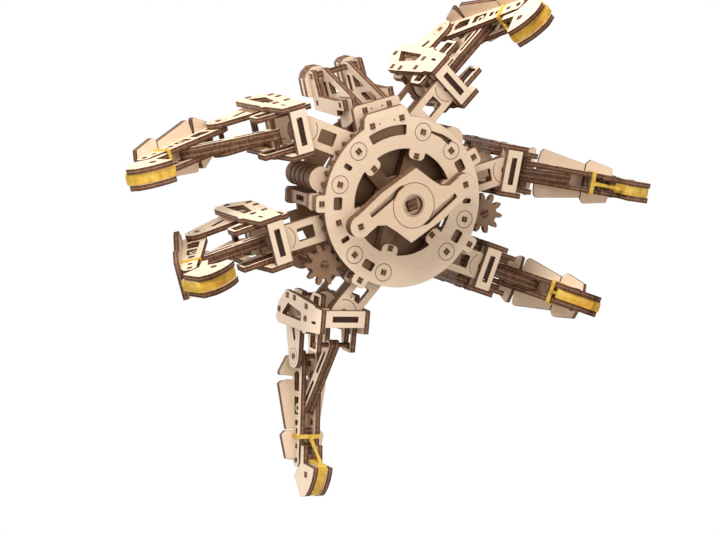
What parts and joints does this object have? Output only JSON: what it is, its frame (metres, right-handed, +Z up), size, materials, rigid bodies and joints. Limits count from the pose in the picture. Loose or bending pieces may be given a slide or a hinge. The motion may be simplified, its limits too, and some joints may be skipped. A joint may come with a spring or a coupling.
{
  "type": "hexapod walking robot kit",
  "caption": "Laser-cut plywood hexapod walker: belly ring with winding lever, gear train, and jointed legs with windows, push rods and rubber-shod feet.",
  "frame": {"origin": "on the floor under the middle of the whole standing walker's bounding box", "axes": "+X forward towards the head, +Y the walker's left, +Z up"},
  "size_m": [0.2586, 0.321, 0.095],
  "materials": {
    "birch_ply": "pale birch plywood, laser-cut, edges burnt dark brown",
    "birch_ply_dark": "birch plywood in stacked rings, burnt edges outward",
    "pin_wood": "square plywood pins, ply edges showing at their ends",
    "rubber_band": "translucent yellow rubber band"
  },
  "bodies": {
    "chassis": {"belly_ring": "birch_ply", "belly_pins": "pin_wood", "lower_arm_frame": "birch_ply", "upper_arm_frame": "birch_ply", "chassis_posts": "birch_ply", "stacked_pillars": "birch_ply", "back_cover": "birch_ply", "head_brackets": "birch_ply", "head_lobes": "birch_ply", "jaw_plates": "birch_ply"},
    "winder": {"winding_lever": "birch_ply", "ratchet_wheel": "birch_ply_dark", "winding_shaft": "pin_wood"},
    "drive": {"drive_gear": "birch_ply", "motor_drum": "birch_ply_dark", "motor_band": "rubber_band"},
    "pinion_left": {"pinion_left": "birch_ply"},
    "pinion_right": {"pinion_right": "birch_ply"},
    "leg1_hip": {"leg1_hip_box": "birch_ply", "leg1_shoulder_links": "birch_ply"},
    "leg1_shin": {"leg1_tibia": "birch_ply", "leg1_fins": "birch_ply"},
    "leg1_rod": {"leg1_push_rod": "birch_ply"},
    "leg1_foot": {"leg1_foot": "birch_ply", "leg1_foot_band": "rubber_band"},
    "leg2_hip": {"leg2_hip_box": "birch_ply", "leg2_shoulder_links": "birch_ply"},
    "leg2_shin": {"leg2_tibia": "birch_ply", "leg2_fins": "birch_ply"},
    "leg2_rod": {"leg2_push_rod": "birch_ply"},
    "leg2_foot": {"leg2_foot": "birch_ply", "leg2_foot_band": "rubber_band"},
    "leg3_hip": {"leg3_hip_box": "birch_ply", "leg3_shoulder_links": "birch_ply"},
    "leg3_shin": {"leg3_tibia": "birch_ply", "leg3_fins": "birch_ply"},
    "leg3_rod": {"leg3_push_rod": "birch_ply"},
    "leg3_foot": {"leg3_foot": "birch_ply", "leg3_foot_band": "rubber_band"},
    "leg4_hip": {"leg4_hip_box": "birch_ply", "leg4_shoulder_links": "birch_ply"},
    "leg4_shin": {"leg4_tibia": "birch_ply", "leg4_fins": "birch_ply"},
    "leg4_rod": {"leg4_push_rod": "birch_ply"},
    "leg4_foot": {"leg4_foot": "birch_ply", "leg4_foot_band": "rubber_band"},
    "leg5_hip": {"leg5_hip_box": "birch_ply", "leg5_shoulder_links": "birch_ply"},
    "leg5_shin": {"leg5_tibia": "birch_ply", "leg5_fins": "birch_ply"},
    "leg5_rod": {"leg5_push_rod": "birch_ply"},
    "leg5_foot": {"leg5_foot": "birch_ply", "leg5_foot_band": "rubber_band"},
    "leg6_hip": {"leg6_hip_box": "birch_ply", "leg6_shoulder_links": "birch_ply"},
    "leg6_shin": {"leg6_tibia": "birch_ply", "leg6_fins": "birch_ply"},
    "leg6_rod": {"leg6_push_rod": "birch_ply"},
    "leg6_foot": {"leg6_foot": "birch_ply", "leg6_foot_band": "rubber_band"}
  },
  "joints": [
    {"name": "winding", "type": "hinge", "parent": "chassis", "child": "winder", "pos_m": [0.03207, -0.01254, 0.02602], "axis": [0, 0, 1], "continuous": true},
    {"name": "drive_spin", "type": "hinge", "parent": "chassis", "child": "drive", "pos_m": [0.03207, -0.01254, 0.03382], "axis": [0, 0, 1], "continuous": true},
    {"name": "pinion_left_spin", "type": "hinge", "parent": "chassis", "child": "pinion_left", "pos_m": [0.00976, 0.03883, 0.03382], "axis": [0, 0, 1], "continuous": true},
    {"name": "pinion_right_spin", "type": "hinge", "parent": "chassis", "child": "pinion_right", "pos_m": [0.00976, -0.0639, 0.03382], "axis": [0, 0, 1], "continuous": true},
    {"name": "leg1_yaw", "type": "hinge", "parent": "chassis", "child": "leg1_hip", "pos_m": [0.08527, -0.05734, 0.04402], "axis": [0, 0, 1], "range_deg": [0, 34]},
    {"name": "leg1_knee", "type": "hinge", "parent": "leg1_hip", "child": "leg1_shin", "pos_m": [0.08527, -0.09034, 0.07702], "axis": [-1, 0, 0], "range_deg": [-39, 0]},
    {"name": "leg1_rod_pin", "type": "hinge", "parent": "leg1_shin", "child": "leg1_rod", "pos_m": [0.08527, -0.11753, 0.06434], "axis": [-1, 0, 0], "range_deg": [0, 17.86]},
    {"name": "leg1_ankle", "type": "hinge", "parent": "leg1_shin", "child": "leg1_foot", "pos_m": [0.08527, -0.14472, 0.05166], "axis": [-1, 0, 0], "range_deg": [-6, 6], "stiffness_Nm_per_rad": 0.6},
    {"name": "leg2_yaw", "type": "hinge", "parent": "chassis", "child": "leg2_hip", "pos_m": [0.02957, -0.08354, 0.04402], "axis": [0, 0, 1], "range_deg": [-32, 0]},
    {"name": "leg2_knee", "type": "hinge", "parent": "leg2_hip", "child": "leg2_shin", "pos_m": [0.02842, -0.11652, 0.07702], "axis": [-0.9994, 0.0349, 0], "range_deg": [0, 56]},
    {"name": "leg2_rod_pin", "type": "hinge", "parent": "leg2_shin", "child": "leg2_rod", "pos_m": [0.02796, -0.12966, 0.05006], "axis": [-0.9994, 0.0349, 0], "range_deg": [-25.65, 0]},
    {"name": "leg2_ankle", "type": "hinge", "parent": "leg2_shin", "child": "leg2_foot", "pos_m": [0.0275, -0.1428, 0.02309], "axis": [-0.9994, 0.0349, 0], "range_deg": [-6, 6], "stiffness_Nm_per_rad": 0.6},
    {"name": "leg3_yaw", "type": "hinge", "parent": "chassis", "child": "leg3_hip", "pos_m": [-0.02113, -0.05734, 0.04402], "axis": [0, 0, 1], "range_deg": [0, 38]},
    {"name": "leg3_knee", "type": "hinge", "parent": "leg3_hip", "child": "leg3_shin", "pos_m": [-0.05251, -0.06753, 0.07702], "axis": [-0.309, 0.9511, 0], "range_deg": [-56, 0]},
    {"name": "leg3_rod_pin", "type": "hinge", "parent": "leg3_shin", "child": "leg3_rod", "pos_m": [-0.08077, -0.07672, 0.07285], "axis": [-0.309, 0.9511, 0], "range_deg": [0, 25.65]},
    {"name": "leg3_ankle", "type": "hinge", "parent": "leg3_shin", "child": "leg3_foot", "pos_m": [-0.10902, -0.08589, 0.06867], "axis": [-0.309, 0.9511, 0], "range_deg": [-6, 6], "stiffness_Nm_per_rad": 0.6},
    {"name": "leg4_yaw", "type": "hinge", "parent": "chassis", "child": "leg4_hip", "pos_m": [0.08527, 0.03226, 0.04402], "axis": [0, 0, 1], "range_deg": [0, 32]},
    {"name": "leg4_knee", "type": "hinge", "parent": "leg4_hip", "child": "leg4_shin", "pos_m": [0.10276, 0.06025, 0.07702], "axis": [0.848, -0.5299, 0], "range_deg": [0, 56]},
    {"name": "leg4_rod_pin", "type": "hinge", "parent": "leg4_shin", "child": "leg4_rod", "pos_m": [0.10973, 0.0714, 0.05006], "axis": [0.848, -0.5299, 0], "range_deg": [-25.65, 0]},
    {"name": "leg4_ankle", "type": "hinge", "parent": "leg4_shin", "child": "leg4_foot", "pos_m": [0.1167, 0.08255, 0.02309], "axis": [0.848, -0.5299, 0], "range_deg": [-6, 6], "stiffness_Nm_per_rad": 0.6},
    {"name": "leg5_yaw", "type": "hinge", "parent": "chassis", "child": "leg5_hip", "pos_m": [0.02957, 0.05846, 0.04402], "axis": [0, 0, 1], "range_deg": [-24, 0]},
    {"name": "leg5_knee", "type": "hinge", "parent": "leg5_hip", "child": "leg5_shin", "pos_m": [0.01615, 0.08861, 0.07702], "axis": [0.9135, 0.4067, 0], "range_deg": [-49, 0]},
    {"name": "leg5_rod_pin", "type": "hinge", "parent": "leg5_shin", "child": "leg5_rod", "pos_m": [0.00436, 0.11508, 0.06926], "axis": [0.9135, 0.4067, 0], "range_deg": [0, 22.44]},
    {"name": "leg5_ankle", "type": "hinge", "parent": "leg5_shin", "child": "leg5_foot", "pos_m": [-0.00742, 0.14155, 0.06149], "axis": [0.9135, 0.4067, 0], "range_deg": [-6, 6], "stiffness_Nm_per_rad": 0.6},
    {"name": "leg6_yaw", "type": "hinge", "parent": "chassis", "child": "leg6_hip", "pos_m": [-0.02113, 0.03226, 0.04402], "axis": [0, 0, 1], "range_deg": [0, 34]},
    {"name": "leg6_knee", "type": "hinge", "parent": "leg6_hip", "child": "leg6_shin", "pos_m": [-0.03958, 0.05962, 0.07702], "axis": [0.829, 0.5592, 0], "range_deg": [0, 56]},
    {"name": "leg6_rod_pin", "type": "hinge", "parent": "leg6_shin", "child": "leg6_rod", "pos_m": [-0.04694, 0.07052, 0.05006], "axis": [0.829, 0.5592, 0], "range_deg": [-25.65, 0]},
    {"name": "leg6_ankle", "type": "hinge", "parent": "leg6_shin", "child": "leg6_foot", "pos_m": [-0.05429, 0.08143, 0.02309], "axis": [0.829, 0.5592, 0], "range_deg": [-6, 6], "stiffness_Nm_per_rad": 0.6}
  ],
  "couplings": [
    {"joint": "pinion_left_spin", "follows": "drive_spin", "ratio": -4.6},
    {"joint": "pinion_right_spin", "follows": "drive_spin", "ratio": -4.6},
    {"joint": "leg1_rod_pin", "follows": "leg1_knee", "ratio": -0.458},
    {"joint": "leg2_yaw", "follows": "leg1_yaw", "ratio": -0.94118},
    {"joint": "leg2_knee", "follows": "leg1_knee", "ratio": -1.4359},
    {"joint": "leg2_rod_pin", "follows": "leg1_knee", "ratio": 0.65764},
    {"joint": "leg3_yaw", "follows": "leg1_yaw", "ratio": 1.1176},
    {"joint": "leg3_knee", "follows": "leg1_knee", "ratio": 1.4359},
    {"joint": "leg3_rod_pin", "follows": "leg1_knee", "ratio": -0.65764},
    {"joint": "leg4_yaw", "follows": "leg1_yaw", "ratio": 0.94118},
    {"joint": "leg4_knee", "follows": "leg1_knee", "ratio": -1.4359},
    {"joint": "leg4_rod_pin", "follows": "leg1_knee", "ratio": 0.65764},
    {"joint": "leg5_yaw", "follows": "leg1_yaw", "ratio": -0.70588},
    {"joint": "leg5_knee", "follows": "leg1_knee", "ratio": 1.2564},
    {"joint": "leg5_rod_pin", "follows": "leg1_knee", "ratio": -0.57544},
    {"joint": "leg6_yaw", "follows": "leg1_yaw", "ratio": 1},
    {"joint": "leg6_knee", "follows": "leg1_knee", "ratio": -1.4359},
    {"joint": "leg6_rod_pin", "follows": "leg1_knee", "ratio": 0.65764}
  ]
}
